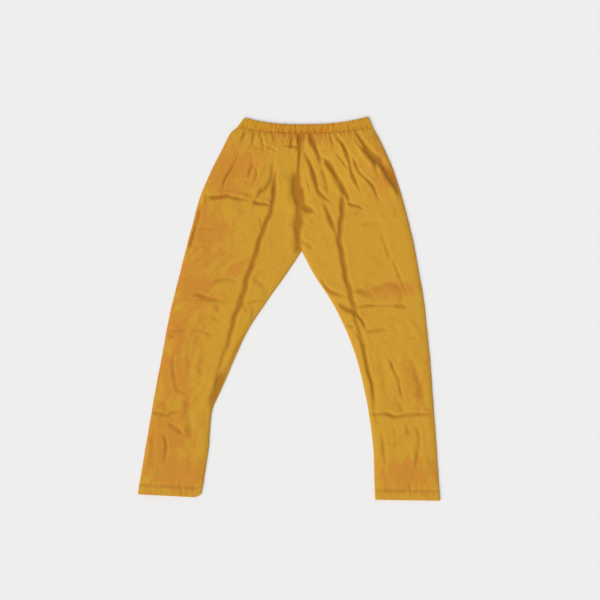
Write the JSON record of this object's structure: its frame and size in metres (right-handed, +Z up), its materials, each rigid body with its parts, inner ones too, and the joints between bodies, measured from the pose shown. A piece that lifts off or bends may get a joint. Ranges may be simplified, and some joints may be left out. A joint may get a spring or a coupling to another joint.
{
  "type": "leggings",
  "caption": "Ankle-length stretch jersey leggings with a gathered elastic waist and turned-up hems, laid flat with the front up.",
  "frame": {"origin": "centre of the outline, on the surface that the garment lies on", "axes": "+X towards the wearer's left leg, +Y from the hems to the waist, +Z up from the surface, out of the front of the garment"},
  "size_m": [0.74, 0.9396, 0.0092],
  "materials": {
    "jersey": "matte mustard-yellow cotton jersey",
    "casing": "matte mustard-yellow cotton jersey, gathered over elastic"
  },
  "bodies": {
    "root": {"leg_right": "jersey", "leg_left": "jersey", "waistband_right": "casing", "waistband_left": "casing"}
  },
  "joints": []
}
